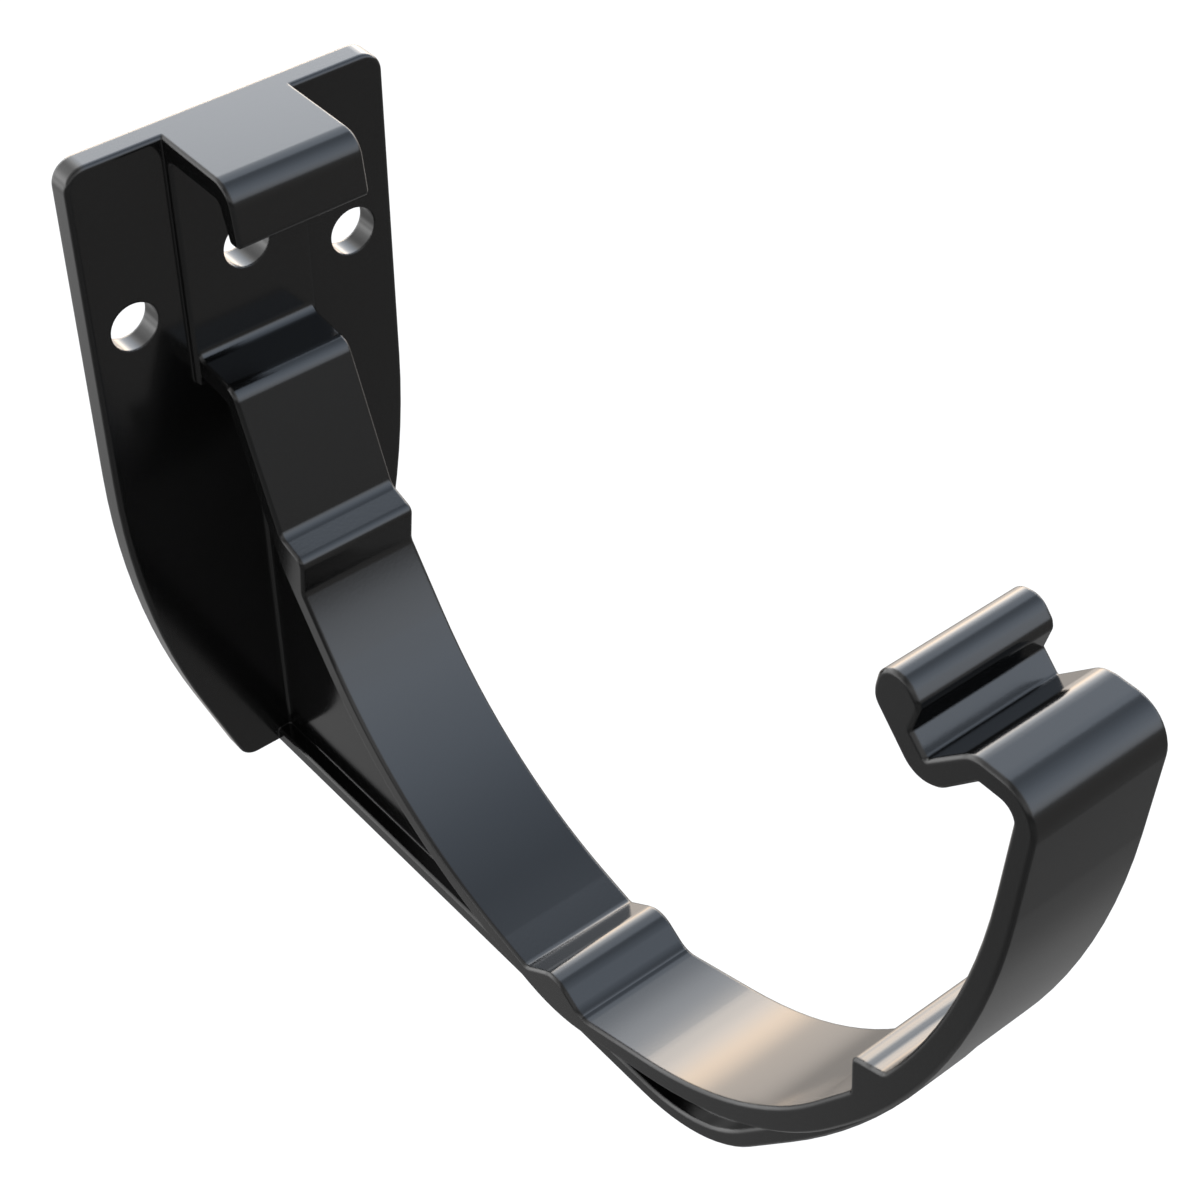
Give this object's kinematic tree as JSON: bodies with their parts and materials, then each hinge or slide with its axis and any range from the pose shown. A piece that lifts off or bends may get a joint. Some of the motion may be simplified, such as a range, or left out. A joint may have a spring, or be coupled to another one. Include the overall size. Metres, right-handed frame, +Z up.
{
  "type": "gutter bracket",
  "caption": "Moulded gutter bracket: shield back plate, hook, curved cradle strap with ledge, rib, stop and sprung front clip, stiffened by a web and keel.",
  "frame": {"origin": "midway between the side screw holes, on the plate's back face", "axes": "+Y into the wall, -Y out along the strap, +Z up, X across the strap"},
  "size_m": [0.0386, 0.1227, 0.0955],
  "materials": {
    "black_plastic": "satin"
  },
  "bodies": {
    "root": {"gutter_bracket": "black_plastic"}
  },
  "joints": []
}
